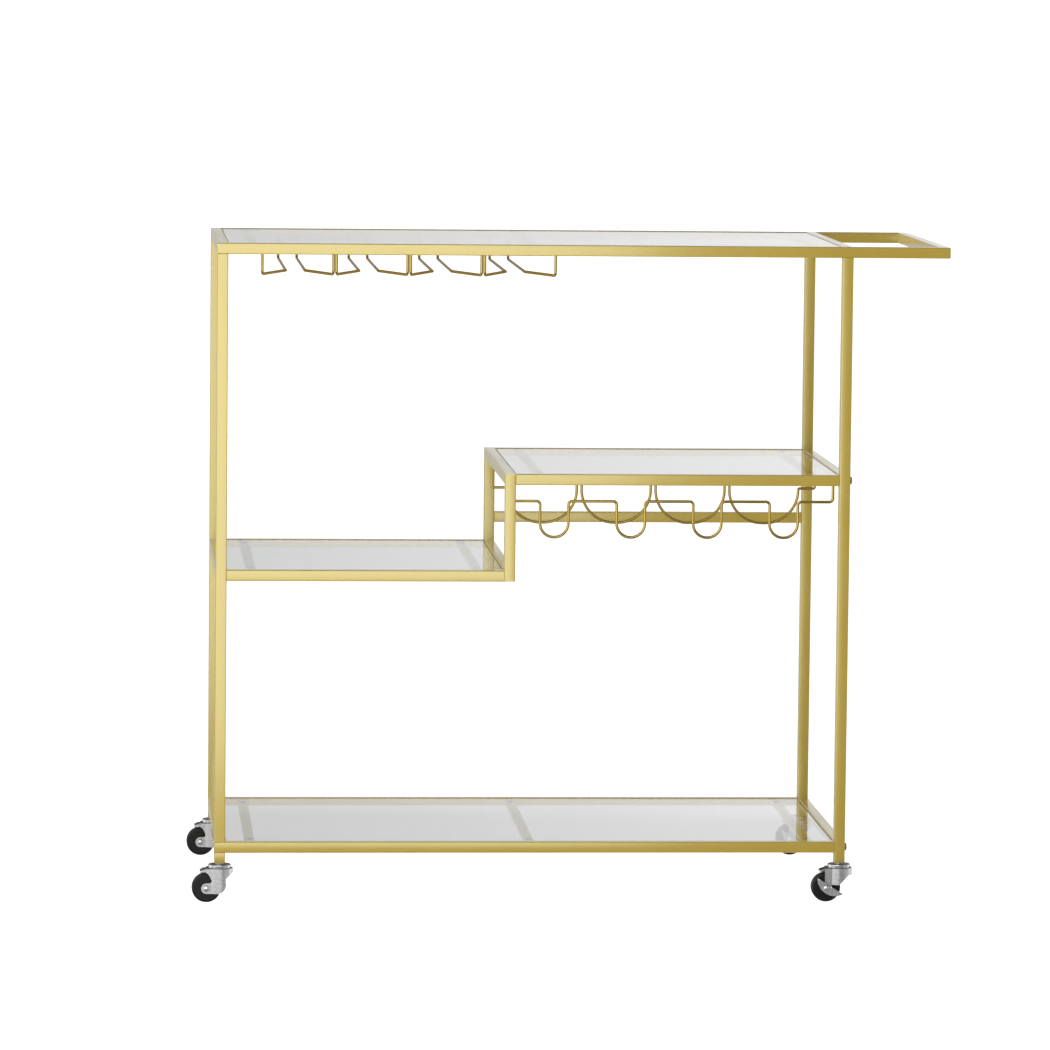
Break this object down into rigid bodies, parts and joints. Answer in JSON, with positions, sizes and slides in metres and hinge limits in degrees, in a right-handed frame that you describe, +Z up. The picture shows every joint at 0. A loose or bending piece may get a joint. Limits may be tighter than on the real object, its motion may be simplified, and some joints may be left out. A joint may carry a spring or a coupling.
{
  "type": "bar cart",
  "caption": "Rolling bar cart: satin gold square-tube frame, stepped glass shelves, stemware slots, bottle rack, push handle and swivel casters with brakes.",
  "frame": {"origin": "on the floor under the middle of the whole cart", "axes": "+X along the length towards the push handle, +Y from the front to the back, +Z up"},
  "size_m": [1.0306, 0.4734, 0.9015],
  "materials": {
    "satin_gold": "satin gold over steel",
    "clear_glass": "clear tempered glass, polished edges",
    "clear_pad": "clear soft pad",
    "plain_steel": "plain steel",
    "zinc_plate": "bright zinc plate on pressed steel",
    "black_rubber": "matte black rubber",
    "black_nylon": "moulded black nylon"
  },
  "bodies": {
    "frame": {"top_front_rail": "satin_gold", "top_rear_rail": "satin_gold", "top_left_rail": "satin_gold", "top_divider_rail": "satin_gold", "handle_bar": "satin_gold", "front_left_leg": "satin_gold", "front_left_foot": "satin_gold", "rear_left_leg": "satin_gold", "front_right_leg": "satin_gold", "rear_right_leg": "satin_gold", "front_step_post": "satin_gold", "rear_step_post": "satin_gold", "post_caps": "satin_gold", "low_shelf_front_rail": "satin_gold", "low_shelf_rear_rail": "satin_gold", "low_shelf_left_rail": "satin_gold", "low_shelf_right_rail": "satin_gold", "high_shelf_front_rail": "satin_gold", "high_shelf_rear_rail": "satin_gold", "high_shelf_left_rail": "satin_gold", "high_shelf_right_rail": "satin_gold", "bottom_shelf_front_rail": "satin_gold", "bottom_shelf_rear_rail": "satin_gold", "bottom_shelf_left_rail": "satin_gold", "bottom_shelf_right_rail": "satin_gold", "bottle_stop_rail": "satin_gold", "frame_screws": "satin_gold", "rail_end_nuts": "plain_steel", "top_glass": "clear_glass", "low_shelf_glass": "clear_glass", "high_shelf_glass": "clear_glass", "bottom_shelf_glass": "clear_glass", "glass_support_bars": "satin_gold", "glass_pads": "clear_pad", "stemware_slot_1": "satin_gold", "stemware_slot_2": "satin_gold", "stemware_slot_3": "satin_gold", "stemware_slot_4": "satin_gold", "bottle_neck_wire": "satin_gold", "bottle_body_wire": "satin_gold", "caster_stems": "zinc_plate", "leg_foot_plugs": "plain_steel"},
    "front_left_swivel": {"front_left_fork": "zinc_plate", "front_left_axle": "zinc_plate"},
    "front_left_wheel": {"front_left_hub": "black_nylon", "front_left_tyre": "black_rubber"},
    "rear_left_swivel": {"rear_left_fork": "zinc_plate", "rear_left_axle": "zinc_plate"},
    "rear_left_wheel": {"rear_left_hub": "black_nylon", "rear_left_tyre": "black_rubber"},
    "front_right_swivel": {"front_right_fork": "zinc_plate", "front_right_axle": "zinc_plate"},
    "front_right_wheel": {"front_right_hub": "black_nylon", "front_right_tyre": "black_rubber"},
    "front_right_brake": {"front_right_brake_pedal": "zinc_plate"},
    "rear_right_swivel": {"rear_right_fork": "zinc_plate", "rear_right_axle": "zinc_plate"},
    "rear_right_wheel": {"rear_right_hub": "black_nylon", "rear_right_tyre": "black_rubber"},
    "rear_right_brake": {"rear_right_brake_pedal": "zinc_plate"}
  },
  "joints": [
    {"name": "front_left_caster_turn", "type": "hinge", "parent": "frame", "child": "front_left_swivel", "pos_m": [-0.47725, -0.2164, 0.047], "axis": [0, 0, 1], "continuous": true},
    {"name": "front_left_wheel_roll", "type": "hinge", "parent": "front_left_swivel", "child": "front_left_wheel", "pos_m": [-0.49525, -0.2164, 0.02], "axis": [0, 1, 0], "continuous": true},
    {"name": "rear_left_caster_turn", "type": "hinge", "parent": "frame", "child": "rear_left_swivel", "pos_m": [-0.47725, 0.2186, 0.047], "axis": [0, 0, 1], "continuous": true},
    {"name": "rear_left_wheel_roll", "type": "hinge", "parent": "rear_left_swivel", "child": "rear_left_wheel", "pos_m": [-0.49525, 0.2186, 0.02], "axis": [0, 1, 0], "continuous": true},
    {"name": "front_right_caster_turn", "type": "hinge", "parent": "frame", "child": "front_right_swivel", "pos_m": [0.37475, -0.2164, 0.047], "axis": [0, 0, 1], "continuous": true},
    {"name": "front_right_wheel_roll", "type": "hinge", "parent": "front_right_swivel", "child": "front_right_wheel", "pos_m": [0.35675, -0.2164, 0.02], "axis": [0, 1, 0], "continuous": true},
    {"name": "front_right_brake_press", "type": "hinge", "parent": "front_right_swivel", "child": "front_right_brake", "pos_m": [0.35675, -0.2164, 0.02], "axis": [0, -1, 0], "range_deg": [0, 24]},
    {"name": "rear_right_caster_turn", "type": "hinge", "parent": "frame", "child": "rear_right_swivel", "pos_m": [0.37475, 0.2186, 0.047], "axis": [0, 0, 1], "continuous": true},
    {"name": "rear_right_wheel_roll", "type": "hinge", "parent": "rear_right_swivel", "child": "rear_right_wheel", "pos_m": [0.35675, 0.2186, 0.02], "axis": [0, 1, 0], "continuous": true},
    {"name": "rear_right_brake_press", "type": "hinge", "parent": "rear_right_swivel", "child": "rear_right_brake", "pos_m": [0.35675, 0.2186, 0.02], "axis": [0, -1, 0], "range_deg": [0, 24]}
  ]
}
